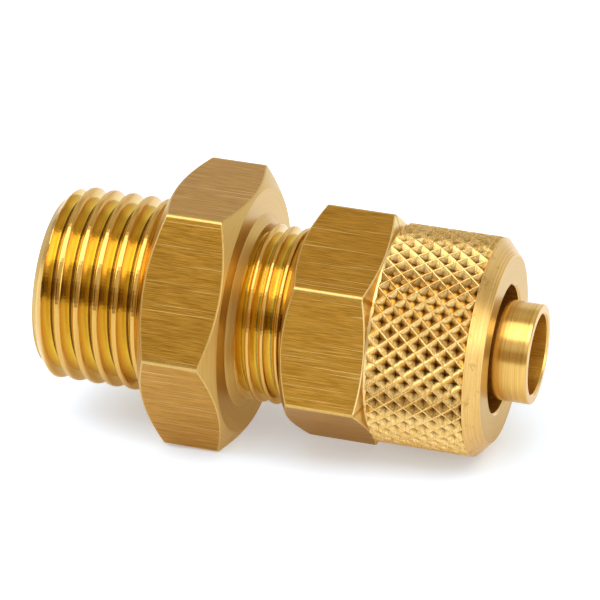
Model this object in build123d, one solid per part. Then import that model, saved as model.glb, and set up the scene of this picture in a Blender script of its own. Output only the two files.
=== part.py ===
from build123d import *
import math
import os

# Push-on hose connector: a turned brass body with two outside threads, a hexagon between them
# and a thin stem, and a clamping nut that screws along the stem side and pinches the hose.
# The axis is X, with the stem towards +X. The origin is on the axis, in the plane of the
# hexagon's port-side face, and one flat of the body hexagon faces down.

# Port thread, G 1/4, shown as a cylinder at its crests
port_thread_d = 13.157
port_thread_depth = 0.856
port_length = 8.3

# Body hexagon
hex_af = 17.0
hex_width = 5.5
hex_face_land = 0.2
hex_chamfer_angle = 30.0

# Coned collar beside the hexagon, and the clamping thread, M12 x 1, shown as a cylinder at its crests
collar_d = 13.2
collar_w = 0.45
clamp_thread_d = 12.0
clamp_thread_depth = 0.613
clamp_thread_length = 7.55

# Hose seat, stem and flow bore
seat_d = 9.2
seat_half_angle = 20.0
stem_d = 6.7
stem_showing = 2.3
stem_tip_round = 0.15
flow_bore_d = 5.4
flow_mouth_chamfer = 0.3
stem_mouth_chamfer = 0.12

# Clamping nut
nut_gap = 3.35
nut_af = 14.0
nut_hex_width = 6.0
nut_face_land = 0.2
nut_turn = 20.0
nut_thread_depth = 8.2
thread_clearance = 0.1
nut_mouth_chamfer = 0.45
hose_bore_d = 8.6
hose_mouth_chamfer = 0.15
clamp_half_angle = 40.0

# Knurl and nose of the nut
knurl_d = 14.7
knurl_depth = 0.38
knurl_length = 6.5
knurl_around = 40
knurl_rows = 5
nose_length = 1.0
nose_face_d = 12.6

# Stations along the axis, worked out from the sizes above
port_end = -port_length
collar_end = hex_width + collar_w
clamp_thread_end = collar_end + clamp_thread_length
seat_end = clamp_thread_end + (seat_d - stem_d) / 2 / math.tan(math.radians(seat_half_angle))
nut_start = collar_end + nut_gap
knurl_start = nut_start + nut_hex_width
nose_start = knurl_start + knurl_length
nut_end = nose_start + nose_length
stem_end = nut_end + stem_showing


def turned(profile):
    """A solid turned about X from a list of (station, radius) corners."""
    outline = make_face(Polyline(profile, close=True))
    return revolve(outline, Axis.X)


def chamfered_hexagon(across_flats, start, width, face_land, turn):
    """A hexagon bar along X, its corners turned off at both ends at the chamfer angle."""
    section = RegularPolygon(across_flats / 2, 6, major_radius=False, rotation=turn)
    bar = extrude(Plane.YZ.offset(start) * section, width)
    corner_r = across_flats / math.sqrt(3)
    face_r = across_flats / 2 - face_land
    drop = (corner_r - face_r) * math.tan(math.radians(hex_chamfer_angle))
    limit = turned([
        (start, 0),
        (start, face_r),
        (start + drop, corner_r),
        (start + width - drop, corner_r),
        (start + width, face_r),
        (start + width, 0),
    ])
    return bar & limit


def knurled_bar(start, length, crest_r, root_r, around, rows):
    """A bar along X with a diamond knurl: crossing ridges, and a pit inside each diamond.

    The surface is a lattice of half steps. Even points are ridge crossings and odd points are
    pit floors, and every lattice square is folded along the ridge that crosses it.
    """
    half_turn = math.pi / around
    half_step = length / rows / 2

    def corner(i, j):
        radius = crest_r if (i + j) % 2 == 0 else root_r
        angle = i * half_turn
        return Vector(start + j * half_step, radius * math.cos(angle), radius * math.sin(angle))

    faces = []
    for j in range(2 * rows):
        for i in range(2 * around):
            low, right = corner(i, j), corner(i + 1, j)
            far, left = corner(i + 1, j + 1), corner(i, j + 1)
            if (i + j) % 2 == 0:
                triangles = ((low, right, far), (low, far, left))
            else:
                triangles = ((low, right, left), (right, far, left))
            faces += [Face(Wire.make_polygon(list(points))) for points in triangles]
    for j in (0, 2 * rows):
        rim = [corner(i, j) for i in range(2 * around)]
        faces.append(Face(Wire.make_polygon(rim)))
    return Solid(Shell(faces))


def connector_body():
    """The turned body: port thread, hexagon, collar, clamping thread, hose seat and stem."""
    bore_r = flow_bore_d / 2
    port_r = port_thread_d / 2
    port_root_r = port_r - port_thread_depth
    clamp_r = clamp_thread_d / 2
    clamp_root_r = clamp_r - clamp_thread_depth
    stem_r = stem_d / 2
    core = turned([
        (port_end, bore_r + flow_mouth_chamfer),
        (port_end, port_root_r),
        (port_end + port_thread_depth, port_r),
        (hex_width, port_r),
        (hex_width, collar_d / 2),
        (collar_end, clamp_r),
        (clamp_thread_end - clamp_thread_depth, clamp_r),
        (clamp_thread_end, clamp_root_r),
        (clamp_thread_end, seat_d / 2),
        (seat_end, stem_r),
        (stem_end, stem_r),
        (stem_end, bore_r + stem_mouth_chamfer),
        (stem_end - stem_mouth_chamfer, bore_r),
        (port_end + flow_mouth_chamfer, bore_r),
    ])
    tip = core.edges().filter_by(GeomType.CIRCLE).group_by(Axis.X)[-1].sort_by(SortBy.RADIUS)[-1]
    core = fillet(tip, stem_tip_round)
    hexagon = chamfered_hexagon(hex_af, 0, hex_width, hex_face_land, 0)
    bore = Cylinder(bore_r, hex_width, rotation=(0, 90, 0), align=(Align.CENTER, Align.CENTER, Align.MIN))
    return core + (hexagon - bore)


def clamping_nut():
    """The nut: hexagon, knurled grip and nose, bored for the thread, the clamp cone and the hose."""
    hexagon = chamfered_hexagon(nut_af, nut_start, nut_hex_width, nut_face_land, nut_turn)
    grip = knurled_bar(knurl_start, knurl_length, knurl_d / 2, knurl_d / 2 - knurl_depth,
                       knurl_around, knurl_rows)
    nose = turned([
        (nose_start, 0),
        (nose_start, knurl_d / 2),
        (nut_end, nose_face_d / 2),
        (nut_end, 0),
    ])
    thread_r = clamp_thread_d / 2 + thread_clearance
    hose_r = hose_bore_d / 2
    cone_start = nut_start + nut_thread_depth
    cone_end = cone_start + (thread_r - hose_r) / math.tan(math.radians(clamp_half_angle))
    hollow = turned([
        (nut_start, 0),
        (nut_start, thread_r + nut_mouth_chamfer),
        (nut_start + nut_mouth_chamfer, thread_r),
        (cone_start, thread_r),
        (cone_end, hose_r),
        (nut_end - hose_mouth_chamfer, hose_r),
        (nut_end, hose_r + hose_mouth_chamfer),
        (nut_end, 0),
    ])
    return hexagon + grip + nose - hollow


os.makedirs("parts", exist_ok=True)
for name, solid in (("connector_body", connector_body()), ("clamping_nut", clamping_nut())):
    export_step(solid, os.path.join("parts", name + ".step"))
    box = solid.bounding_box()
    print(name, "volume", round(solid.volume, 1), "x", round(box.min.X, 2), round(box.max.X, 2),
          "solids", len(solid.solids()), "faces", len(solid.faces()))
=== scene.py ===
import logging
import math
from dataclasses import dataclass, fields, replace
from enum import Enum
from functools import partial

import bpy
import numpy as np
from bpy.types import ID, Material, Mesh, NodeSocket, NodeTree, Object
from mathutils import Matrix, Vector


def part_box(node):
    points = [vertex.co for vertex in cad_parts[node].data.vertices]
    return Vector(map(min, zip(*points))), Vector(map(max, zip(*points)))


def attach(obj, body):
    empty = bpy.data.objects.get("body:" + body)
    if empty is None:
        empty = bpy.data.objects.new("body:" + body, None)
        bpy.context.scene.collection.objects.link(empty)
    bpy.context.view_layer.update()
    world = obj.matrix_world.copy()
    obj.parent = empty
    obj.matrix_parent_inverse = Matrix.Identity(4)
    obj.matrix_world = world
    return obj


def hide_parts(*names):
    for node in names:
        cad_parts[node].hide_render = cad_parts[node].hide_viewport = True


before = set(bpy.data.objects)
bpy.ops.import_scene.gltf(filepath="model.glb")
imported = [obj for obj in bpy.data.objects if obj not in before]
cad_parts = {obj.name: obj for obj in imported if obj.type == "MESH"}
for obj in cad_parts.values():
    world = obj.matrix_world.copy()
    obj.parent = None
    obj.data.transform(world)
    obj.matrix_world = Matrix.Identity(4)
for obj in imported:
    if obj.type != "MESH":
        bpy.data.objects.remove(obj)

# A straight brass hose connector: a turned body with a port thread, a hexagon, a clamping thread
# and a stem, and a clamping nut with a hexagon, a diamond knurl and a conical nose. The axis is X,
# with the stem towards +X, and every length here is in metres.

MM = 0.001
TURN = 2 * math.pi
WELD = 2e-6
COLUMNS_PER_FLAT = 24
COLUMNS = 6 * COLUMNS_PER_FLAT
COLUMN_ANGLES = np.arange(COLUMNS) * TURN / COLUMNS
CHAMFER_ANGLE = math.radians(30)

# A lead's radius that is too large for it to cut anything.
NO_LEAD = 1.0

log = logging.getLogger("hose_connector")


def linear(colour: str) -> tuple[float, float, float, float]:
    """Turns an sRGB hex colour into linear RGBA.

    Args:
        colour: the colour as "#RRGGBB".

    Returns:
        Red, green, blue and an alpha of 1, all linear.
    """
    parts = [int(colour[i:i + 2], 16) / 255 for i in (1, 3, 5)]
    return (*[p / 12.92 if p <= 0.04045 else ((p + 0.055) / 1.055) ** 2.4 for p in parts], 1.0)


def add_node(tree: NodeTree, kind: str, inputs: dict | None = None, out: int | str = 0,
             **settings: object) -> NodeSocket | None:
    """Adds one node with its settings and links.

    Args:
        tree: the node tree that gets the node.
        kind: the node's Blender type name.
        inputs: values or sockets for the node's inputs, by name or number.
        out: which output to return.
        **settings: properties to set on the node, before its inputs.

    Returns:
        The chosen output socket, or None for a node that has no outputs.
    """
    node = tree.nodes.new(kind)
    for name, value in settings.items():
        setattr(node, name, value)
    for key, value in (inputs or {}).items():
        if isinstance(value, NodeSocket):
            tree.links.new(value, node.inputs[key])
        else:
            node.inputs[key].default_value = value
    return node.outputs[out] if node.outputs else None


def math_node(tree: NodeTree, operation: str, *values: object) -> NodeSocket:
    """Adds one step of a sum.

    Args:
        tree: the node tree.
        operation: what the step does.
        *values: its numbers or sockets, in order.

    Returns:
        The result.
    """
    return add_node(tree, "ShaderNodeMath", dict(enumerate(values)), operation=operation)


def range_node(tree: NodeTree, value: NodeSocket, first: float,
               last: float | NodeSocket, to_first: float = 0.0, to_last: float = 1.0,
               **settings: object) -> NodeSocket:
    """Maps one range of values onto another, and holds the result past both ends.

    Args:
        tree: the node tree.
        value: the value to map.
        first: where the range starts.
        last: where it ends.
        to_first: the result at the start.
        to_last: the result at the end.
        **settings: properties to set on the node.

    Returns:
        The result.
    """
    limits = {"Value": value, "From Min": first, "From Max": last, "To Min": to_first, "To Max": to_last}
    return add_node(tree, "ShaderNodeMapRange", limits, **settings)


def mix_node(tree: NodeTree, share: NodeSocket, first: object,
             second: object) -> NodeSocket:
    """Mixes two colours.

    Args:
        tree: the node tree.
        share: how much of the second colour.
        first: the first colour, as a socket or as linear RGBA.
        second: the second colour.

    Returns:
        The mixed colour.
    """
    return add_node(tree, "ShaderNodeMix", {"Factor": share, "A": first, "B": second},
                    out="Result", data_type="RGBA")


def axis_distance(tree: NodeTree, place: NodeSocket) -> NodeSocket:
    """The distance of a place from the X axis.

    Args:
        tree: the node tree.
        place: the place as a vector.

    Returns:
        The distance.
    """
    flat = add_node(tree, "ShaderNodeVectorMath", {0: place, 1: (0.0, 1.0, 1.0)}, operation="MULTIPLY")
    return add_node(tree, "ShaderNodeVectorMath", {0: flat}, out="Value", operation="LENGTH")


class Surface(Enum):
    """The surfaces that a tool leaves on the two pieces."""

    DRAWN = "drawn_flats"
    FACED = "faced_shoulders"
    PORT_THREAD = "port_thread"
    CLAMP_THREAD = "clamp_thread"
    STEM = "turned_stem"
    BORE = "drilled_bore"
    KNURL = "rolled_knurl"
    NOSE = "turned_nose"
    NECK = "faced_neck"


class Grain(Enum):
    """Which way the fine tool marks of a finish run."""

    ALONG = "along the bar"
    AROUND = "round the axis"


NOISE_SPAN = (0.25, 0.75)
# Painted shade: the thin dark line in each thread root, with dried oil.
ROOT_SHADE_COLOUR = "#703C10"
STAIN_COLOUR = "#8E6626"
STAIN_SIZE = 0.9 * MM
STAIN_LEVELS = (0.56, 0.7)
SCRATCH_COLOUR = "#F4D690"
SCRATCH_SPACING = 0.08 * MM
SCRATCH_LENGTH = 12.0 * MM
SCRATCH_LEVELS = (0.64, 0.71)
SCRATCH_SHIFT = (3.0, 5.0, 1.0)


@dataclass(frozen=True)
class BrassFinish:
    """Free-cutting brass with one machined surface.

    The tool marks are a noise stretched along the marks. They change the colour a little, raise the
    roughness and shape the bump, so that a highlight breaks up into fine lines. A painted pit colour
    comes in from the pit top to the pit floor, which are distances from the axis: painted shade with
    dried oil in the knurl's pits, and a painted paler sheen on the threads' flanks.
    """

    surface: Surface
    dark: str
    light: str
    roughness: float
    grain: Grain = Grain.AROUND
    roughness_spread: float = 0.1
    mark_spacing: float = 0.06 * MM
    mark_length: float = 10.0 * MM
    mark_depth: float = 0.002 * MM
    tone_spread: float = 0.21
    pit_sheen_shade_and_oil_colour: str = ""
    pit_top: float = 0.0
    pit_floor: float = 0.0
    root_shade_line: float = 0.0
    stain: float = 0.0
    scratch: float = 0.0

    def grain_vector(self, tree: NodeTree, place: NodeSocket) -> NodeSocket:
        """Object coordinates scaled so that one unit is one mark.

        Args:
            tree: the material's node tree.
            place: the object coordinates.

        Returns:
            The vector for the noise.
        """
        across, along = 1 / self.mark_spacing, 1 / self.mark_length
        if self.grain is Grain.ALONG:
            return add_node(tree, "ShaderNodeMapping", {"Vector": place, "Scale": (along, across, across)})
        split = add_node(tree, "ShaderNodeSeparateXYZ", {0: place}).node
        x = math_node(tree, "MULTIPLY", split.outputs[0], across)
        radius = math_node(tree, "MULTIPLY", axis_distance(tree, place), across)
        slow = math_node(tree, "MULTIPLY", split.outputs[2], along)
        return add_node(tree, "ShaderNodeCombineXYZ", {0: x, 1: radius, 2: slow})

    def tints(self, tree: NodeTree,
              place: NodeSocket) -> list[tuple[NodeSocket, str]]:
        """The colours that lie over the bare brass.

        They are the painted colour of the pits, with a painted dark line of shade and dried oil in each
        thread root, the small brown stains of handling, and the few bright scratches along the bar,
        where the drawing die had a nick.

        Args:
            tree: the material's node tree.
            place: the object coordinates.

        Returns:
            For each colour its share at a point and its hex value, in the order they are laid on.
        """
        found = []
        # Painted light: the pit colour is painted shade in the knurl and a painted paler sheen on the
        # threads.
        if self.pit_sheen_shade_and_oil_colour:
            radius = axis_distance(tree, place)
            found.append((range_node(tree, radius, self.pit_top, self.pit_floor), self.pit_sheen_shade_and_oil_colour))
            # Painted shade: a thin dark line in each root, with dried oil.
            if self.root_shade_line:
                line = range_node(tree, radius, self.pit_floor + self.root_shade_line, self.pit_floor)
                found.append((line, ROOT_SHADE_COLOUR))
        if self.stain:
            spots = add_node(tree, "ShaderNodeTexNoise",
                             {"Vector": place, "Scale": 1 / STAIN_SIZE, "Detail": 5.0, "Roughness": 0.7})
            found.append((range_node(tree, spots, *STAIN_LEVELS, 0.0, self.stain), STAIN_COLOUR))
        if self.scratch:
            scale = (1 / SCRATCH_LENGTH, 1 / SCRATCH_SPACING, 1 / SCRATCH_SPACING)
            lines = add_node(tree, "ShaderNodeMapping",
                             {"Vector": place, "Scale": scale, "Location": SCRATCH_SHIFT})
            noise = add_node(tree, "ShaderNodeTexNoise", {"Vector": lines, "Scale": 1.0, "Detail": 1.0})
            found.append((range_node(tree, noise, *SCRATCH_LEVELS, 0.0, self.scratch), SCRATCH_COLOUR))
        return found

    def material(self) -> Material:
        """Builds the finish.

        Returns:
            The material, named for the surface.
        """
        material = bpy.data.materials.new("brass_" + self.surface.value)
        material.use_nodes = True
        tree = material.node_tree
        place = add_node(tree, "ShaderNodeTexCoord", out="Object")
        fine = add_node(tree, "ShaderNodeTexNoise", {"Vector": self.grain_vector(tree, place), "Scale": 1.0,
                                                     "Detail": 4.0, "Roughness": 0.6})
        tone = range_node(tree, fine, 0.5 - self.tone_spread, 0.5 + self.tone_spread,
                          interpolation_type="SMOOTHSTEP")
        colour = mix_node(tree, tone, linear(self.dark), linear(self.light))
        for share, tint in self.tints(tree, place):
            colour = mix_node(tree, share, colour, linear(tint))
        rough = range_node(tree, fine, *NOISE_SPAN, self.roughness, self.roughness + self.roughness_spread)
        bump = add_node(tree, "ShaderNodeBump",
                        {"Height": fine, "Distance": self.mark_depth, "Strength": 1.0})
        shader = tree.nodes["Principled BSDF"]
        for label, value in (("Base Color", colour), ("Roughness", rough), ("Normal", bump)):
            tree.links.new(value, shader.inputs[label])
        shader.inputs["Metallic"].default_value = 1.0
        return material


@dataclass
class Ring:
    """A closed loop of a skin's points, in order of their angle round the axis."""

    points: np.ndarray
    angles: np.ndarray


class Skin:
    """The closed surface of one turned piece, gathered ring by ring."""

    def __init__(self) -> None:
        """Starts with no points."""
        self.places: list[tuple[float, float, float]] = []
        self.faces: list[tuple[int, ...]] = []
        self.surfaces: list[Surface] = []
        self.smooth: list[bool] = []
        self.creases: set[tuple[int, int]] = set()

    def ring(self, station: np.ndarray | float, radius: np.ndarray | float, angles: np.ndarray,
             crisp: bool = False) -> Ring:
        """Adds a loop of points.

        Args:
            station: place along the axis, one value or one for each point.
            radius: distance from the axis, one value or one for each point.
            angles: angle of each point, from +Y towards +Z, rising.
            crisp: whether the edge along the loop is a sharp one.

        Returns:
            The new ring.
        """
        first = len(self.places)
        x, r = np.broadcast_to(station, angles.shape), np.broadcast_to(radius, angles.shape)
        self.places += list(zip(x.tolist(), (r * np.cos(angles)).tolist(), (r * np.sin(angles)).tolist()))
        made = Ring(np.arange(first, first + len(angles)), angles)
        if crisp:
            self.crease(made)
        return made

    def crease(self, *rings: Ring) -> None:
        """Marks the edges along some rings as sharp."""
        for ring in rings:
            for a, b in zip(ring.points, np.roll(ring.points, -1)):
                self.creases.add((min(a, b), max(a, b)))

    def band(self, near: Ring, far: Ring, surface: Surface) -> None:
        """Joins two rings: with quads where their angles agree, and else with triangles.

        Args:
            near: the first ring.
            far: the second ring.
            surface: the finish of the faces.
        """
        if len(near.points) == len(far.points) and np.allclose(near.angles, far.angles, atol=1e-3):
            a, b = near.points, far.points
            quads = zip(a, np.roll(a, -1), np.roll(b, -1), b)
            self.add_faces([tuple(int(p) for p in quad) for quad in quads], surface)
            return
        i = j = 0
        count_a, count_b = len(near.points), len(far.points)
        angle_a = np.append(near.angles, near.angles[0] + TURN)
        angle_b = np.append(far.angles, far.angles[0] + TURN)
        triangles = []
        while i < count_a or j < count_b:
            a, b = int(near.points[i % count_a]), int(far.points[j % count_b])
            if j >= count_b or (i < count_a and angle_a[i + 1] <= angle_b[j + 1]):
                i += 1
                triangles.append((a, int(near.points[i % count_a]), b))
            else:
                j += 1
                triangles.append((a, int(far.points[j % count_b]), b))
        self.add_faces(triangles, surface)

    def add_faces(self, faces: list[tuple[int, ...]], surface: Surface) -> None:
        """Adds smooth faces of one finish."""
        self.faces += faces
        self.surfaces += [surface] * len(faces)
        self.smooth += [True] * len(faces)

    def strip(self, mesh: Mesh, surface: Surface, lead: float = -math.inf) -> tuple[Ring, Ring]:
        """Takes in a tube that is open at both ends.

        Args:
            mesh: the tube, round the X axis.
            surface: the finish of its faces.
            lead: station below which the faces are a faced chamfer instead.

        Returns:
            Its open edges, the low end first.
        """
        first = len(self.places)
        self.places += [tuple(v.co) for v in mesh.vertices]
        uses: dict[tuple[int, int], int] = {}
        for face in mesh.polygons:
            finish = Surface.FACED if face.center.x < lead else surface
            self.add_faces([tuple(first + p for p in face.vertices)], finish)
            self.smooth[-1] = face.use_smooth
            for key in face.edge_keys:
                uses[key] = uses.get(key, 0) + 1
        rim = sorted({p for key, count in uses.items() if count == 1 for p in key})
        places = np.array([mesh.vertices[p].co for p in rim])
        angles = np.arctan2(places[:, 2], places[:, 1]) % TURN
        middle = (places[:, 0].min() + places[:, 0].max()) / 2
        ends = []
        for chosen in (places[:, 0] < middle, places[:, 0] >= middle):
            numbers, bearing = np.array(rim)[chosen] + first, angles[chosen]
            order = np.argsort(bearing)
            ends.append(Ring(numbers[order], bearing[order]))
        return ends[0], ends[1]

    def finished(self, name: str, finishes: dict[Surface, Material]) -> Object:
        """Makes the mesh object, with its normals outwards.

        Args:
            name: the object's name.
            finishes: the material of each surface.

        Returns:
            The object, at the origin.
        """
        mesh = bpy.data.meshes.new(name)
        mesh.from_pydata(self.places, [], self.faces)
        used = [s for s in Surface if s in set(self.surfaces)]
        for surface in used:
            mesh.materials.append(finishes[surface])
        slots = {surface: number for number, surface in enumerate(used)}
        mesh.polygons.foreach_set("material_index", [slots[s] for s in self.surfaces])
        mesh.polygons.foreach_set("use_smooth", self.smooth)
        mesh.update()
        sharp = mesh.attributes.new("sharp_edge", "BOOLEAN", "EDGE")
        sharp.data.foreach_set("value", [tuple(sorted(e.vertices)) in self.creases for e in mesh.edges])
        if volume_of(mesh) < 0:
            mesh.flip_normals()
        piece = bpy.data.objects.new(name, mesh)
        bpy.context.scene.collection.objects.link(piece)
        return piece


def volume_of(mesh: Mesh) -> float:
    """The signed volume inside a closed mesh, positive where its faces point outwards."""
    mesh.calc_loop_triangles()
    places = np.array([v.co for v in mesh.vertices])
    corners = places[np.array([t.vertices[:] for t in mesh.loop_triangles])]
    return float(np.einsum("ij,ij->i", corners[:, 0], np.cross(corners[:, 1], corners[:, 2])).sum() / 6)


@dataclass(frozen=True)
class Corner:
    """A corner of a turned profile, and the size of its edge break."""

    station: float
    radius: float
    edge_break: float = 0.0


@dataclass
class TurnedProfile:
    """A run of surfaces turned about the axis, with small rounded edge breaks.

    There is one surface more than there are corners. A ring on each side of an edge break, at
    support times its size from the corner, keeps the faces beside it evenly shaded.
    """

    corners: list[Corner]
    surfaces: list[Surface]
    break_steps: int = 4
    support: float = 1.5

    def add_to(self, skin: Skin, before: Ring, after: Ring) -> None:
        """Adds the run to a skin.

        Args:
            skin: the skin that gets the rings and bands.
            before: the ring that the run starts from.
            after: the ring that it ends on.
        """
        start, end = (skin.places[ring.points[0]] for ring in (before, after))
        path = [Vector((start[0], math.hypot(*start[1:]))),
                *[Vector((corner.station, corner.radius)) for corner in self.corners],
                Vector((end[0], math.hypot(*end[1:])))]
        last = before
        for number, corner in enumerate(self.corners):
            here = path[number + 1]
            points = [here]
            if corner.edge_break:
                back = (path[number] - here).normalized() * corner.edge_break
                ahead = (path[number + 2] - here).normalized() * corner.edge_break
                shares = [step / self.break_steps for step in range(self.break_steps + 1)]
                arc = [here + back * (1 - share) ** 2 + ahead * share ** 2 for share in shares]
                points = [here + back * self.support, *arc, here + ahead * self.support]
            for point in points:
                ring = skin.ring(point.x, point.y, COLUMN_ANGLES, crisp=not corner.edge_break)
                skin.band(last, ring, self.surfaces[number])
                last = ring
        skin.band(last, after, self.surfaces[-1])


@dataclass
class HexagonBar:
    """A hexagon with its corners turned off at both ends.

    A land is how far inside the flats the cone of the turned-off corners meets the end face.
    """

    across_flats: float
    start: float
    width: float
    low_land: float
    high_land: float
    turn: float = 0.0
    high_neck: float = 0.0
    high_angle: float = CHAMFER_ANGLE
    high_surface: Surface = Surface.FACED
    corner_radius: float = 0.32 * MM
    edge_break: float = 0.05 * MM
    support: float = 0.03 * MM
    arc_steps: int = 5
    flat_rows: int = 4

    def outline(self) -> tuple[np.ndarray, np.ndarray, np.ndarray]:
        """The bar's section, with rounded corners.

        Returns:
            The angle and the distance from the axis of each point, with the angles rising, and
            whether the step to the next point is part of a rounded corner.
        """
        inner = self.across_flats / 2
        reach = inner * math.tan(math.pi / 6) - self.corner_radius * math.tan(math.pi / 6)
        inside = COLUMNS_PER_FLAT - self.arc_steps - 3
        places = [-reach, *np.linspace(-reach + self.support, reach - self.support, inside + 2), reach]
        points = [(inner, s) for s in places]
        for step in range(1, self.arc_steps):
            angle = step / self.arc_steps * math.pi / 3
            points.append((inner - self.corner_radius * (1 - math.cos(angle)),
                           reach + self.corner_radius * math.sin(angle)))
        out, side = np.array(points).T
        radii, bearing = np.hypot(out, side), np.arctan2(side, out)
        middles = self.turn + math.pi / 6 + np.arange(6) * math.pi / 3
        angles = (middles[:, None] + bearing[None, :]).ravel() % TURN
        order = np.argsort(angles)
        rounded = np.arange(len(points)) >= len(places) - 1
        return angles[order], np.tile(radii, 6)[order], np.tile(rounded, 6)[order]

    def end_rows(self, radii: np.ndarray, land: float, angle: float,
                 neck: float) -> list[tuple[np.ndarray, np.ndarray, bool]]:
        """The rings from an end face over the turned-off corners to the flats.

        Where the cone is short, as at the middle of a flat, the rings of the edge break stay in
        their order because each may take only a fixed share of it.

        Args:
            radii: the section's distances from the axis.
            land: the end's land.
            angle: the cone's angle from the face.
            neck: length of a plain neck between the face and the cone.

        Returns:
            For each ring its distance from the face, its radius and whether its edge is crisp.
        """
        face = self.across_flats / 2 - land
        slope = math.tan(angle)
        drop = neck + (radii - face) * slope
        spread = 1 + self.support / self.edge_break
        rows = [(0 * radii, face + 0 * radii, True)]
        if neck > 0:
            rows.append((neck + 0 * radii, face + 0 * radii, True))
        for share, limit in ((spread, 0.7), (1.0, 0.5)):
            inward = np.minimum(self.edge_break * math.cos(angle) * share, (radii - face) * limit)
            rows.append((drop - inward * slope, radii - inward, False))
        rows.append((drop + (self.edge_break - inward * slope) / 4, radii - inward / 4, False))
        rows.append((drop + self.edge_break, radii, False))
        rows.append((drop + self.edge_break * spread, radii, False))
        return rows

    def add_to(self, skin: Skin) -> tuple[Ring, Ring]:
        """Adds the flats and the turned corners.

        Args:
            skin: the skin that gets them.

        Returns:
            The edge of each end face, the low end first.
        """
        angles, radii, rounded = self.outline()
        low = self.end_rows(radii, self.low_land, CHAMFER_ANGLE, 0.0)
        high = [(self.width - x, r, crisp) for x, r, crisp in
                reversed(self.end_rows(radii, self.high_land, self.high_angle, self.high_neck))]
        first, last = low[-1][0], high[0][0]
        middle = [(first + (last - first) * row / self.flat_rows, radii, False)
                  for row in range(1, self.flat_rows)]
        rows = low + middle + high
        rings = [skin.ring(self.start + x, r, angles, crisp) for x, r, crisp in rows]
        for number in range(len(rows) - 1):
            surface = Surface.FACED if number < len(low) - 1 else Surface.DRAWN
            if number >= len(low) + len(middle):
                surface = self.high_surface
            skin.band(rings[number], rings[number + 1], surface)
            for column in np.flatnonzero(rounded):
                skin.surfaces[column - len(angles)] = Surface.FACED
        return rings[0], rings[-1]


@dataclass
class Thread:
    """One right-hand helical thread between two stations.

    A crest stands at crest_station at the angle zero. The ends are plain circles: a lead is a cone
    at 45 degrees that starts from the lead's radius, and a run-out fades the groove into the crest
    radius. The flank radius is where the flanks stand a quarter of a pitch from the crest.
    """

    start: float
    end: float
    pitch: float
    crest_station: float
    crest_radius: float
    root_radius: float
    flank_radius: float
    flank_slope: float
    crest_rounding: float
    root_rounding: float
    rows_per_turn: int
    low_lead_radius: float = NO_LEAD
    high_lead_radius: float = NO_LEAD
    low_runout: float = 0.0
    high_runout: float = 0.0

    def inputs(self) -> dict[str, float]:
        """The values for the tree's named inputs, which are named for the fields."""
        step = self.pitch / self.rows_per_turn
        rows = math.ceil((self.end - self.start) / step + self.rows_per_turn)
        named = {label_of(name): value for name, value in vars(self).items()}
        return {"Columns": COLUMNS, "Rows": rows, "Row Step": step, **named}


def label_of(name: str) -> str:
    """The name of a tree's input for one of the fields."""
    return name.replace("_", " ").title()


def new_tree(name: str, whole: list[str], sizes: list[str]) -> NodeTree:
    """Starts a Geometry Nodes tree with named inputs.

    Args:
        name: the tree's name.
        whole: names of its whole-number inputs.
        sizes: names of its float inputs.

    Returns:
        The tree, with a geometry output and a material input as well.
    """
    tree = bpy.data.node_groups.new(name, "GeometryNodeTree")
    kinds = [(label, "Int") for label in whole] + [(label, "Float") for label in sizes]
    for label, kind in (*kinds, ("Finish", "Material")):
        tree.interface.new_socket(name=label, in_out="INPUT", socket_type="NodeSocket" + kind)
    tree.interface.new_socket(name="Geometry", in_out="OUTPUT", socket_type="NodeSocketGeometry")
    return tree


def close_tree(tree: NodeTree, geometry: NodeSocket, finish: NodeSocket) -> None:
    """Ends a tree: real, welded and with its material.

    Args:
        tree: the tree to end.
        geometry: what it has made.
        finish: the material input.
    """
    real = add_node(tree, "GeometryNodeRealizeInstances", {0: geometry})
    welded = add_node(tree, "GeometryNodeMergeByDistance", {"Geometry": real, "Distance": WELD})
    dressed = add_node(tree, "GeometryNodeSetMaterial", {"Geometry": welded, "Material": finish})
    add_node(tree, "NodeGroupOutput", {0: dressed})


def unit_grid(tree: NodeTree, across: NodeSocket,
              up: NodeSocket) -> NodeSocket:
    """A flat grid from -0.5 to 0.5 both ways.

    Args:
        tree: the tree that makes it.
        across: how many points it has along X.
        up: how many points it has along Y.

    Returns:
        The grid.
    """
    return add_node(tree, "GeometryNodeMeshGrid",
                    {"Size X": 1.0, "Size Y": 1.0, "Vertices X": across, "Vertices Y": up})


def round_the_axis(tree: NodeTree, station: NodeSocket, radius: NodeSocket,
                   angle: NodeSocket) -> NodeSocket:
    """The place of a point that is given by its station, radius and angle.

    Args:
        tree: the tree that works it out.
        station: place along the axis.
        radius: distance from the axis.
        angle: angle from +Y towards +Z.

    Returns:
        The place as a vector.
    """
    y = math_node(tree, "MULTIPLY", radius, math_node(tree, "COSINE", angle))
    z = math_node(tree, "MULTIPLY", radius, math_node(tree, "SINE", angle))
    return add_node(tree, "ShaderNodeCombineXYZ", {0: station, 1: y, 2: z})


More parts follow.
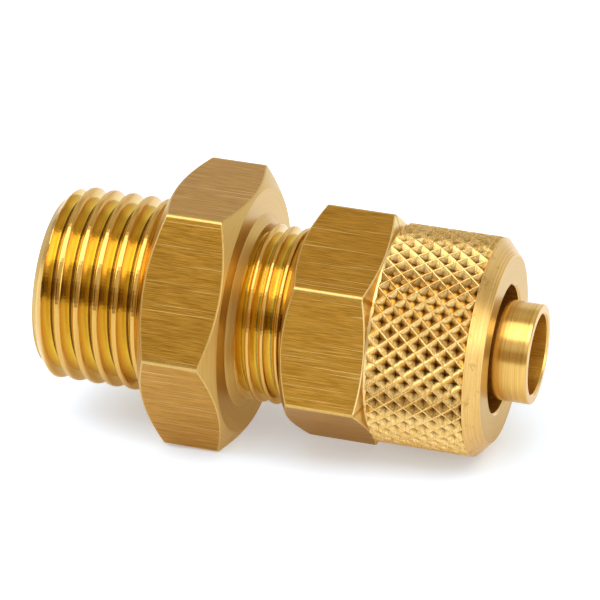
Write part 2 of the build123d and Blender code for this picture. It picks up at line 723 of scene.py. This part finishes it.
def thread_tree() -> NodeTree:
    """Builds the tree that cuts a helical thread.

    A grid is sheared so that its rows follow the helix, and its rows past the ends are held at the
    end circles, where they weld together.

    Returns:
        The tree.
    """
    sizes = [label_of(field.name) for field in fields(Thread) if field.type is float]
    tree = new_tree("helical_thread", ["Columns", "Rows"], ["Row Step", *sizes])
    given = tree.nodes.new("NodeGroupInput").outputs
    maths = partial(math_node, tree)

    grid = unit_grid(tree, maths("ADD", given["Columns"], 1.0), maths("ADD", given["Rows"], 1.0))
    place = add_node(tree, "ShaderNodeSeparateXYZ", {0: add_node(tree, "GeometryNodeInputPosition")}).node
    share = maths("ADD", place.outputs[0], 0.5)
    row = maths("MULTIPLY", maths("ADD", place.outputs[1], 0.5), given["Rows"])
    base = maths("MULTIPLY_ADD", row, given["Row Step"], maths("SUBTRACT", given["Start"], given["Pitch"]))
    raw = maths("MULTIPLY_ADD", share, given["Pitch"], base)
    station = maths("MINIMUM", maths("MAXIMUM", raw, given["Start"]), given["End"])

    ahead = maths("MULTIPLY_ADD", share, given["Pitch"], given["Crest Station"])
    turns = maths("DIVIDE", maths("SUBTRACT", station, ahead), given["Pitch"])
    off_crest = maths("MULTIPLY", maths("ABSOLUTE", maths("WRAP", turns, 0.5, -0.5)), given["Pitch"])
    rise = maths("SUBTRACT", maths("MULTIPLY", given["Pitch"], 0.25), off_crest)
    flank = maths("MULTIPLY_ADD", rise, given["Flank Slope"], given["Flank Radius"])
    rounded = maths("SMOOTH_MIN", flank, given["Crest Radius"], given["Crest Rounding"])
    radius = maths("SMOOTH_MAX", rounded, given["Root Radius"], given["Root Rounding"])

    ends = ((maths("SUBTRACT", station, given["Start"]), "Low Lead Radius", "Low Runout"),
            (maths("SUBTRACT", given["End"], station), "High Lead Radius", "High Runout"))
    for inside, lead, runout in ends:
        radius = maths("MINIMUM", radius, maths("ADD", inside, given[lead]))
        cut = range_node(tree, inside, 0.0, given[runout], interpolation_type="SMOOTHSTEP")
        cut = maths("MAXIMUM", cut, maths("LESS_THAN", given[runout], WELD))
        groove = maths("SUBTRACT", radius, given["Crest Radius"])
        radius = maths("MULTIPLY_ADD", groove, cut, given["Crest Radius"])

    rolled = round_the_axis(tree, station, radius, maths("MULTIPLY", share, TURN))
    moved = add_node(tree, "GeometryNodeSetPosition", {"Geometry": grid, "Position": rolled})
    close_tree(tree, moved, given["Finish"])
    return tree


@dataclass
class Knurl:
    """A diamond knurl: pits rolled between two families of crossing ridges.

    One pit is a fan of rings. For each ring, ring_shares says how far from the pit's middle to the
    ridges it lies, and ring_depths how deep, as a share of the whole depth.
    """

    start: float
    length: float
    crest_radius: float
    depth: float
    around: int
    rows: int
    ring_shares: tuple[float, ...] = (0.0, 0.84, 0.9, 0.94, 0.97, 1.0)
    ring_depths: tuple[float, ...] = (1.0, 0.12, 0.055, 0.024, 0.006, 0.0)
    wall_depth: float = 0.3
    spokes: int = 8

    def inputs(self) -> dict[str, float]:
        """The values for the tree's named inputs."""
        return {"Rings": len(self.ring_shares), "Spokes": self.spokes, "Around": self.around,
                "Half Rows": 2 * self.rows, "Start": self.start, "Length": self.length,
                "Crest Radius": self.crest_radius, "Depth": self.depth}

    def tree(self) -> NodeTree:
        """Builds the tree that rolls the knurl.

        One pit is set on every point of a staggered lattice, the half pits past the ends are
        dropped, and the sheet is rolled up.

        Returns:
            The tree.
        """
        tree = new_tree("diamond_knurl", ["Rings", "Spokes", "Around", "Half Rows"],
                        ["Start", "Length", "Crest Radius", "Depth"])
        given = tree.nodes.new("NodeGroupInput").outputs
        maths = partial(math_node, tree)

        place = add_node(tree, "ShaderNodeSeparateXYZ", {0: add_node(tree, "GeometryNodeInputPosition")}).node
        share_x = maths("ADD", place.outputs[0], 0.5)
        share_y = maths("ADD", place.outputs[1], 0.5)
        half_row = maths("DIVIDE", given["Length"], given["Half Rows"])
        half_turn = maths("DIVIDE", math.pi, given["Around"])

        fan = unit_grid(tree, given["Rings"], maths("ADD", given["Spokes"], 1.0))
        reach = self.curve(tree, share_x, self.ring_shares)
        sink = self.curve(tree, share_x, self.ring_depths)
        # The spokes go once round the diamond, whose corners lie at the whole numbers up to 4.
        spoke = maths("MULTIPLY", share_y, 4.0)
        sides = []
        for shift, size in ((0.0, half_row), (3.0, half_turn)):
            wave = maths("ABSOLUTE", maths("SUBTRACT", maths("MODULO", maths("ADD", spoke, shift), 4.0), 2.0))
            sides.append(maths("MULTIPLY", maths("MULTIPLY", maths("SUBTRACT", wave, 1.0), reach), size))
        floor = maths("MULTIPLY", sink, maths("MULTIPLY", given["Depth"], -1.0))
        spot = add_node(tree, "ShaderNodeCombineXYZ", {0: sides[0], 1: sides[1], 2: floor})
        shaped = add_node(tree, "GeometryNodeSetPosition", {"Geometry": fan, "Position": spot})
        walls = maths("LESS_THAN", place.outputs[2], maths("MULTIPLY", given["Depth"], -self.wall_depth))
        pit = add_node(tree, "GeometryNodeSetShadeSmooth",
                       {"Geometry": shaped, "Selection": walls, "Shade Smooth": False})

        lattice = unit_grid(tree, maths("ADD", given["Half Rows"], 1.0), given["Around"])
        step = maths("ROUND", maths("MULTIPLY", share_x, given["Half Rows"]))
        turn = maths("ROUND", maths("MULTIPLY", share_y, maths("SUBTRACT", given["Around"], 1.0)))
        stagger = maths("MODULO", step, 2.0)
        along = maths("MULTIPLY_ADD", step, half_row, given["Start"])
        bearing = maths("MULTIPLY", maths("MULTIPLY_ADD", turn, 2.0, stagger), half_turn)
        seat = add_node(tree, "ShaderNodeCombineXYZ", {0: along, 1: bearing})
        seats = add_node(tree, "GeometryNodeSetPosition", {"Geometry": lattice, "Position": seat})
        pits = add_node(tree, "GeometryNodeInstanceOnPoints", {"Points": seats, "Instance": pit})
        sheet = add_node(tree, "GeometryNodeRealizeInstances", {0: pits})

        before = maths("LESS_THAN", place.outputs[0], maths("SUBTRACT", given["Start"], WELD))
        limit = maths("ADD", maths("ADD", given["Start"], given["Length"]), WELD)
        outside = maths("MAXIMUM", before, maths("GREATER_THAN", place.outputs[0], limit))
        kept = add_node(tree, "GeometryNodeDeleteGeometry", {"Geometry": sheet, "Selection": outside})
        radius = maths("ADD", given["Crest Radius"], place.outputs[2])
        rolled = round_the_axis(tree, place.outputs[0], radius, place.outputs[1])
        moved = add_node(tree, "GeometryNodeSetPosition", {"Geometry": kept, "Position": rolled})
        close_tree(tree, moved, given["Finish"])
        return tree

    def curve(self, tree: NodeTree, share: NodeSocket,
              values: tuple[float, ...]) -> NodeSocket:
        """Looks up one of the pit's value lists by ring.

        Args:
            tree: the knurl's tree.
            share: how far through the rings a point is, from 0 to 1.
            values: the list, one value for each ring.

        Returns:
            The value at the point.
        """
        found = add_node(tree, "ShaderNodeFloatCurve", {"Value": share})
        points = found.node.mapping.curves[0].points
        last = len(values) - 1
        points[0].location, points[1].location = (0.0, values[0]), (1.0, values[-1])
        for number in range(1, last):
            points.new(number / last, values[number])
        for point in points:
            point.handle_type = "VECTOR"
        found.node.mapping.update()
        return found


def grown(tree: NodeTree, inputs: dict[str, float], finish: Material) -> Mesh:
    """Runs a tree once and keeps its mesh.

    Args:
        tree: the Geometry Nodes tree.
        inputs: values by the inputs' names.
        finish: the material of the result.

    Returns:
        The plain mesh.
    """
    holder = bpy.data.objects.new(tree.name, bpy.data.meshes.new(tree.name))
    bpy.context.scene.collection.objects.link(holder)
    modifier = holder.modifiers.new(tree.name, "NODES")
    modifier.node_group = tree
    for item in tree.interface.items_tree:
        if item.in_out == "INPUT":
            modifier[item.identifier] = finish if item.name == "Finish" else inputs[item.name]
    bpy.context.view_layer.update()
    seen = holder.evaluated_get(bpy.context.evaluated_depsgraph_get())
    mesh = bpy.data.meshes.new_from_object(seen)
    holder.modifiers.remove(modifier)
    bpy.data.objects.remove(holder)
    return mesh


@dataclass
class ConnectorBody:
    """The turned body: port thread, hexagon, collar, clamping thread, hose seat and stem.

    A flank shift moves the flanks out from the middle of the thread's depth, which makes the crests
    broader. The crest excess makes up for what the rounding takes off the clamping thread's crest.
    """

    port_end: float
    stem_end: float
    port_crest: float = 13.157 / 2 * MM
    port_depth: float = 0.856 * MM
    port_pitch: float = 25.4 / 19 * MM
    port_crest_station: float = -5.58 * MM
    port_flank_slope: float = 1 / math.tan(math.radians(27.5))
    port_flank_shift: float = 0.14 * MM
    port_lead_step: float = 0.02 * MM
    port_runout: float = 0.55 * MM
    port_lead: float = 0.4 * MM
    hexagon_width: float = 5.5 * MM
    hexagon_across: float = 17.0 * MM
    hexagon_land: float = 0.2 * MM
    collar_radius: float = 6.6 * MM
    collar_width: float = 0.45 * MM
    clamp_crest: float = 6.0 * MM
    clamp_crest_excess: float = 0.002 * MM
    clamp_depth: float = 0.613 * MM
    clamp_pitch: float = 1.0 * MM
    clamp_crest_station: float = 7.29 * MM
    clamp_flank_slope: float = 1 / math.tan(math.radians(30))
    clamp_flank_shift: float = 0.1 * MM
    clamp_length: float = 7.55 * MM
    seat_radius: float = 4.6 * MM
    seat_angle: float = math.radians(20)
    stem_radius: float = 3.35 * MM
    bore_radius: float = 2.7 * MM
    bore_chamfer: float = 0.3 * MM
    mouth_chamfer: float = 0.12 * MM
    tip_round: float = 0.12 * MM

    def clamp_start(self) -> float:
        """Station of the collar's free side, where the clamping thread's groove starts."""
        return self.hexagon_width + self.collar_width

    def port_thread(self) -> Thread:
        """The port thread, G 1/4, with its chamfered first turn and its run-out at the shoulder."""
        root = self.port_crest - self.port_depth
        return Thread(
            start=self.port_end, end=0.0, pitch=self.port_pitch, crest_station=self.port_crest_station,
            crest_radius=self.port_crest, root_radius=root,
            flank_radius=self.port_crest - self.port_depth / 2 + self.port_flank_shift,
            flank_slope=self.port_flank_slope, crest_rounding=0.32 * MM, root_rounding=0.1 * MM,
            rows_per_turn=26, low_lead_radius=root - self.port_lead_step, high_runout=self.port_runout)

    def clamp_thread(self) -> Thread:
        """The clamping thread, M12 x 1, which starts in the collar's cone."""
        root = self.clamp_crest - self.clamp_depth
        return Thread(
            start=self.clamp_start(), end=self.clamp_start() + self.clamp_length, pitch=self.clamp_pitch,
            crest_station=self.clamp_crest_station,
            crest_radius=self.clamp_crest + self.clamp_crest_excess, root_radius=root,
            flank_radius=self.clamp_crest - self.clamp_depth / 2 + self.clamp_flank_shift,
            flank_slope=self.clamp_flank_slope, crest_rounding=0.28 * MM, root_rounding=0.08 * MM,
            rows_per_turn=22, high_lead_radius=root)

    def build(self, threads: NodeTree, finishes: dict[Surface, Material]) -> Object:
        """Builds the body.

        Args:
            threads: the tree that cuts threads.
            finishes: the material of each surface.

        Returns:
            The body, as one closed mesh.
        """
        skin = Skin()
        port_mesh = grown(threads, self.port_thread().inputs(), finishes[Surface.PORT_THREAD])
        clamp_mesh = grown(threads, self.clamp_thread().inputs(), finishes[Surface.CLAMP_THREAD])
        port_low, port_high = skin.strip(port_mesh, Surface.PORT_THREAD, self.port_end + self.port_lead)
        clamp_low, clamp_high = skin.strip(clamp_mesh, Surface.CLAMP_THREAD)
        hexagon = HexagonBar(self.hexagon_across, 0.0, self.hexagon_width, self.hexagon_land,
                             self.hexagon_land)
        face_low, face_high = hexagon.add_to(skin)
        skin.crease(port_low, port_high, clamp_low, clamp_high)
        skin.band(port_high, face_low, Surface.FACED)
        collar = TurnedProfile(
            [Corner(self.hexagon_width, self.collar_radius),
             Corner(self.clamp_start(), self.clamp_crest)],
            [Surface.FACED, Surface.FACED, Surface.FACED])
        collar.add_to(skin, face_high, clamp_low)
        seat_start = self.clamp_start() + self.clamp_length
        seat_length = (self.seat_radius - self.stem_radius) / math.tan(self.seat_angle)
        inner = TurnedProfile(
            [Corner(seat_start, self.seat_radius),
             Corner(seat_start + seat_length, self.stem_radius),
             Corner(self.stem_end, self.stem_radius, self.tip_round),
             Corner(self.stem_end, self.bore_radius + self.mouth_chamfer),
             Corner(self.stem_end - self.mouth_chamfer, self.bore_radius),
             Corner(self.port_end + self.bore_chamfer, self.bore_radius),
             Corner(self.port_end, self.bore_radius + self.bore_chamfer)],
            [Surface.FACED, Surface.STEM, Surface.STEM, Surface.STEM, Surface.STEM, Surface.BORE,
             Surface.FACED, Surface.FACED])
        inner.add_to(skin, clamp_high, port_low)
        return skin.finished("connector_body_brass", finishes)


@dataclass
class ClampingNut:
    """The nut: hexagon, knurled grip and nose, with the thread and the clamp cone inside."""

    start: float
    end: float
    hexagon_across: float = 14.0 * MM
    hexagon_width: float = 6.0 * MM
    hexagon_land: float = 0.2 * MM
    turn: float = math.radians(20)
    neck_land: float = 0.03 * MM
    neck_length: float = 0.2 * MM
    neck_angle: float = math.radians(22)
    knurl_radius: float = 7.35 * MM
    knurl_depth: float = 0.38 * MM
    knurl_length: float = 6.5 * MM
    knurl_around: int = 40
    knurl_rows: int = 5
    knurl_land: float = 0.03 * MM
    nose_face_radius: float = 6.3 * MM
    nose_break: float = 0.06 * MM
    thread_clearance: float = 0.1 * MM
    thread_length: float = 8.2 * MM
    thread_rows: int = 14
    thread_runouts: tuple[float, float] = (0.4 * MM, 0.8 * MM)
    mouth_chamfer: float = 0.45 * MM
    clamp_angle: float = math.radians(40)
    hose_radius: float = 4.3 * MM
    hose_chamfer: float = 0.15 * MM

    def inside_thread(self, male: Thread) -> Thread:
        """The nut's thread, which follows the body's with a clearance.

        Args:
            male: the body's clamping thread.

        Returns:
            The thread, faded out at both ends.
        """
        low_runout, high_runout = self.thread_runouts
        return replace(
            male, start=self.start + self.mouth_chamfer, end=self.start + self.thread_length,
            crest_radius=male.crest_radius + self.thread_clearance,
            root_radius=male.root_radius + self.thread_clearance,
            flank_radius=male.flank_radius + self.thread_clearance,
            rows_per_turn=self.thread_rows, high_lead_radius=NO_LEAD,
            low_runout=low_runout, high_runout=high_runout)

    def build(self, threads: NodeTree, male: Thread,
              finishes: dict[Surface, Material]) -> Object:
        """Builds the nut.

        Args:
            threads: the tree that cuts threads.
            male: the body's clamping thread.
            finishes: the material of each surface.

        Returns:
            The nut, as one closed mesh.
        """
        skin = Skin()
        inside = self.inside_thread(male)
        thread_mesh = grown(threads, inside.inputs(), finishes[Surface.BORE])
        thread_low, thread_high = skin.strip(thread_mesh, Surface.BORE)
        hexagon = HexagonBar(self.hexagon_across, self.start, self.hexagon_width, self.hexagon_land,
                             self.neck_land, self.turn, self.neck_length, self.neck_angle, Surface.NECK)
        face_low, face_high = hexagon.add_to(skin)
        knurl = Knurl(self.start + self.hexagon_width, self.knurl_length, self.knurl_radius,
                      self.knurl_depth, self.knurl_around, self.knurl_rows)
        knurl_mesh = grown(knurl.tree(), knurl.inputs(), finishes[Surface.KNURL])
        knurl_low, knurl_high = skin.strip(knurl_mesh, Surface.KNURL)
        skin.crease(thread_low, thread_high, knurl_low, knurl_high)
        skin.band(face_high, knurl_low, Surface.NECK)
        nose_start = knurl.start + knurl.length + self.knurl_land
        cone_start = self.start + self.thread_length
        cone_length = (inside.crest_radius - self.hose_radius) / math.tan(self.clamp_angle)
        mouth = TurnedProfile([Corner(self.start, inside.crest_radius + self.mouth_chamfer)],
                              [Surface.FACED, Surface.FACED])
        mouth.add_to(skin, face_low, thread_low)
        nose = TurnedProfile(
            [Corner(nose_start, self.knurl_radius),
             Corner(self.end, self.nose_face_radius, self.nose_break),
             Corner(self.end, self.hose_radius + self.hose_chamfer),
             Corner(self.end - self.hose_chamfer, self.hose_radius),
             Corner(cone_start + cone_length, self.hose_radius)],
            [Surface.KNURL, Surface.NOSE, Surface.FACED, Surface.NOSE, Surface.BORE, Surface.FACED])
        nose.add_to(skin, knurl_high, thread_high)
        return skin.finished("clamping_nut_brass", finishes)


# Threads cut with a chaser and left bright: glossy. Towards the roots the flanks are painted paler
# and yellower, a painted highlight, and each root has a thin painted dark line of shade and dried oil.
PORT_FINISH = BrassFinish(Surface.PORT_THREAD, "#CCA04C", "#DEB466", 0.12, roughness_spread=0.06,
                          pit_sheen_shade_and_oil_colour="#ECD87E", pit_top=6.4 * MM, pit_floor=5.74 * MM, root_shade_line=0.02 * MM)

FINISHES = (
    # Drawn hexagon bar: the die leaves fine lines along the bar, which turn a highlight into streaks.
    BrassFinish(Surface.DRAWN, "#9A6E22", "#C8963E", 0.29, Grain.ALONG, roughness_spread=0.08,
                mark_spacing=0.035 * MM, mark_length=1.6 * MM, mark_depth=0.008 * MM, tone_spread=0.14,
                scratch=0.55),
    # Shoulders, the collar and the turned-off corners, faced with a sharp tool: satin, faint rings.
    BrassFinish(Surface.FACED, "#C6A258", "#D6B46E", 0.3, mark_spacing=0.08 * MM, mark_length=8.0 * MM),
    PORT_FINISH,
    replace(PORT_FINISH, surface=Surface.CLAMP_THREAD, pit_top=5.88 * MM, pit_floor=5.4 * MM),
    # The stem, turned fine and left satin.
    BrassFinish(Surface.STEM, "#CEA048", "#E8C276", 0.17, roughness_spread=0.08, mark_spacing=0.07 * MM),
    # The drilled bore and the inside of the nut, with marks along them.
    BrassFinish(Surface.BORE, "#E2AC42", "#F8CE60", 0.3, Grain.ALONG, roughness_spread=0.12,
                mark_spacing=0.12 * MM, mark_length=2.0 * MM, mark_depth=0.006 * MM),
    # Rolled knurl: the ridges are burnished, and the pits are painted dark brown: painted shade, with a film
    # of dried oil.
    BrassFinish(Surface.KNURL, "#CFA452", "#F4D492", 0.15, mark_spacing=0.12 * MM, mark_length=1.0 * MM,
                mark_depth=0.004 * MM, pit_sheen_shade_and_oil_colour="#70501E", pit_top=7.23 * MM, pit_floor=7.0 * MM),
    # The turned-off corners beside the knurl: paler, to make up for the brass that they mirror.
    BrassFinish(Surface.NECK, "#E6C884", "#F0D89A", 0.3, mark_length=3.0 * MM, mark_depth=0.004 * MM),
    # The nose, turned with a coarser feed: satin, with rings that spread the highlight.
    BrassFinish(Surface.NOSE, "#D2A658", "#E4C07C", 0.2, mark_length=3.0 * MM, mark_depth=0.004 * MM,
                stain=0.6),
)


def put_up(data: ID, place: Vector, right: Vector, up: Vector, out: Vector) -> Object:
    """Puts a lamp or the camera into the scene.

    Args:
        data: the lamp or camera.
        place: where it stands.
        right: its own right-hand direction.
        up: its own upward direction.
        out: the direction behind it.

    Returns:
        The new object.
    """
    thing = bpy.data.objects.new(data.name, data)
    thing.matrix_world = Matrix.Translation(place) @ Matrix((right, up, out)).transposed().to_4x4()
    bpy.context.scene.collection.objects.link(thing)
    return thing


@dataclass(frozen=True)
class SoftBox:
    """A soft rectangular light that faces the part, its power in watts."""

    name: str
    way: tuple[float, float, float]
    distance: float
    width: float
    depth: float
    power: float

    def hang(self, aim: Vector) -> None:
        """Hangs the light.

        Args:
            aim: the point that it faces, from which its way and distance are measured.
        """
        light = bpy.data.lights.new(self.name, "AREA")
        light.shape, light.size, light.size_y, light.energy = "RECTANGLE", self.width, self.depth, self.power
        out = Vector(self.way).normalized()
        across = Vector((1.0, 0.0, 0.0)) if abs(out.x) < 0.9 else Vector((0.0, 1.0, 0.0))
        side = (across - out * across.dot(out)).normalized()
        put_up(light, aim + out * self.distance, side, out.cross(side), out)


# The room's colours, by the share of the way from the front horizon over the top to the back one.
ROOM_LEVELS = ((0.0, "#BCA786"), (0.135, "#BCA786"), (0.15, "#EDEAE4"), (0.28, "#F9F8F5"), (0.5, "#ADA598"),
               (0.64, "#DED6C6"), (0.77, "#CCC6BA"), (0.84, "#FFFFFF"), (1.0, "#F9F9F9"))

# The soft edges of the dark flag: its top, as such a share, and its near and far side, as the
# part of the view's direction that points to the port thread's side.
FLAG_TOP = (0.2, 0.13)
FLAG_NEAR = (0.3, 0.4)
FLAG_FAR = (0.74, 0.84)

LIGHTS = (
    SoftBox("soft_box", (-0.26, -0.29, 0.93), distance=0.40, width=0.95, depth=0.30, power=2.05),
    SoftBox("side_card", (1.0, -0.25, 0.12), distance=0.45, width=0.35, depth=0.35, power=0.62),
)


@dataclass
class Studio:
    """A plain pale floor, a soft light overhead and one on the stem's side, a room and the camera."""

    floor_point: Vector
    floor_tilt: float
    floor_size: float = 3.0
    floor_colour: str = "#DEECFF"
    floor_lift: float = 0.35
    mirrored_colour: str = "#FFD890"
    mirrored_lift: float = 0.3
    flag_shade: float = 0.97
    azimuth: float = math.radians(16.40)
    elevation: float = math.radians(26.10)
    roll: float = math.radians(1.50)
    distance: float = 267.0 * MM
    aim: tuple[float, float, float] = (8.65 * MM, 0.0, 1.27 * MM)
    focal_pixels: float = 4000.0
    frame_pixels: float = 600.0
    sensor_width: float = 36.0
    clip: tuple[float, float] = (0.01, 10.0)

    def add_floor(self) -> None:
        """Lays the floor under the part, tilted as the part leans on it when it rests.

        The floor glows a little, white for the camera and warm in the part's reflections.
        """
        half = self.floor_size / 2
        mesh = bpy.data.meshes.new("floor")
        corners = [(-half, -half, 0), (half, -half, 0), (half, half, 0), (-half, half, 0)]
        mesh.from_pydata(corners, [], [(0, 1, 2, 3)])
        mesh.transform(Matrix.Translation(self.floor_point) @ Matrix.Rotation(-self.floor_tilt, 4, "Y"))
        floor = bpy.data.objects.new("floor", mesh)
        bpy.context.scene.collection.objects.link(floor)
        material = bpy.data.materials.new("pale_floor")
        material.use_nodes = True
        tree = material.node_tree
        tree.nodes.clear()
        rays = add_node(tree, "ShaderNodeLightPath").node.outputs
        matt = add_node(tree, "ShaderNodeBsdfDiffuse", {"Color": linear(self.floor_colour)})
        mirrored = math_node(tree, "MULTIPLY", rays["Is Glossy Ray"], self.mirrored_lift)
        glow = math_node(tree, "MULTIPLY_ADD", rays["Is Camera Ray"], self.floor_lift, mirrored)
        hue = mix_node(tree, rays["Is Camera Ray"], linear(self.mirrored_colour), linear("#FFFFFF"))
        lift = add_node(tree, "ShaderNodeEmission", {"Color": hue, "Strength": glow})
        both = add_node(tree, "ShaderNodeAddShader", {0: matt, 1: lift})
        add_node(tree, "ShaderNodeOutputMaterial", {0: both})
        mesh.materials.append(material)

    def add_world(self) -> None:
        """Surrounds the part with a pale room, with a dark flag low in front of the port thread.

        The flag gives the threads their dark band. The camera itself sees white.
        """
        world = bpy.data.worlds.new("pale_room")
        world.use_nodes = True
        tree = world.node_tree
        tree.nodes.clear()
        maths = partial(math_node, tree)
        way = add_node(tree, "ShaderNodeTexCoord", out="Generated")
        x, y, z = add_node(tree, "ShaderNodeSeparateXYZ", {0: way}).node.outputs
        share = maths("DIVIDE", maths("ARCTAN2", z, maths("MULTIPLY", y, -1.0)), math.pi)
        ramp = add_node(tree, "ShaderNodeValToRGB", {"Fac": share})
        stops = ramp.node.color_ramp.elements
        for number, (place, level) in enumerate(ROOM_LEVELS):
            stop = stops[number] if number < 2 else stops.new(place)
            stop.position, stop.color = place, linear(level)
        left = maths("MULTIPLY", x, -1.0)
        low = range_node(tree, share, *FLAG_TOP)
        near = range_node(tree, left, *FLAG_NEAR, 0.0, self.flag_shade)
        far = range_node(tree, left, *FLAG_FAR, 1.0, 0.0)
        flag = maths("MULTIPLY", maths("MULTIPLY", low, near), far)
        shaded = mix_node(tree, flag, ramp, linear("#000000"))
        rays = add_node(tree, "ShaderNodeLightPath").node.outputs
        colour = mix_node(tree, rays["Is Camera Ray"], shaded, linear("#FFFFFF"))
        sky = add_node(tree, "ShaderNodeBackground", {"Color": colour, "Strength": 1.0})
        add_node(tree, "ShaderNodeOutputWorld", {0: sky})
        bpy.context.scene.world = world

    def add_camera(self) -> None:
        """Sets up the camera at the photograph's viewing angle."""
        out = Vector((math.sin(self.azimuth) * math.cos(self.elevation),
                      -math.cos(self.azimuth) * math.cos(self.elevation), math.sin(self.elevation)))
        right = Vector((0, 0, 1)).cross(out).normalized()
        up = out.cross(right)
        rolled_right = right * math.cos(self.roll) + up * math.sin(self.roll)
        rolled_up = up * math.cos(self.roll) - right * math.sin(self.roll)
        data = bpy.data.cameras.new("camera")
        data.sensor_width = self.sensor_width
        data.lens = self.focal_pixels / self.frame_pixels * self.sensor_width
        data.clip_start, data.clip_end = self.clip
        place = Vector(self.aim) + out * self.distance
        bpy.context.scene.camera = put_up(data, place, rolled_right, rolled_up, out)

    def build(self) -> None:
        """Sets up the floor, the room, the soft lights and the camera."""
        self.add_floor()
        self.add_world()
        for light in LIGHTS:
            light.hang(Vector(self.aim))
        self.add_camera()
        bpy.context.scene.view_settings.view_transform = "Standard"


def shown(piece: Object, node: str) -> None:
    """Puts a finished piece in the place of its CAD node and reports it.

    Args:
        piece: the piece.
        node: the CAD node, and the body it rides on.
    """
    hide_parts(node)
    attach(piece, node)
    triangles = sum(len(face.vertices) - 2 for face in piece.data.polygons)
    log.info("%s stands for %s, %d triangles", piece.name, node, triangles)


def main() -> None:
    """Builds the two pieces and the studio, in order."""
    logging.basicConfig(level=logging.INFO, format="%(name)s: %(message)s")
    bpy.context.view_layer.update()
    finishes = {finish.surface: finish.material() for finish in FINISHES}
    threads = thread_tree()
    body_low, body_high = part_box("connector_body")
    body = ConnectorBody(port_end=body_low.x, stem_end=body_high.x)
    shown(body.build(threads, finishes), "connector_body")
    nut_low, nut_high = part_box("clamping_nut")
    nut = ClampingNut(start=nut_low.x, end=nut_high.x)
    shown(nut.build(threads, body.clamp_thread(), finishes), "clamping_nut")
    # The part rests on the end of the body's lowest flat and on the nut's lowest corner.
    flat_end = Vector((body.hexagon_width - body.hexagon_land * math.tan(CHAMFER_ANGLE), 0.0, body_low.z))
    corner_inset = 0.65 * MM
    corner_x = nut.start + nut.hexagon_width - corner_inset
    tilt = math.atan2(nut_low.z - body_low.z, corner_x - flat_end.x)
    Studio(floor_point=flat_end, floor_tilt=tilt).build()


if __name__ == "__main__":
    main()
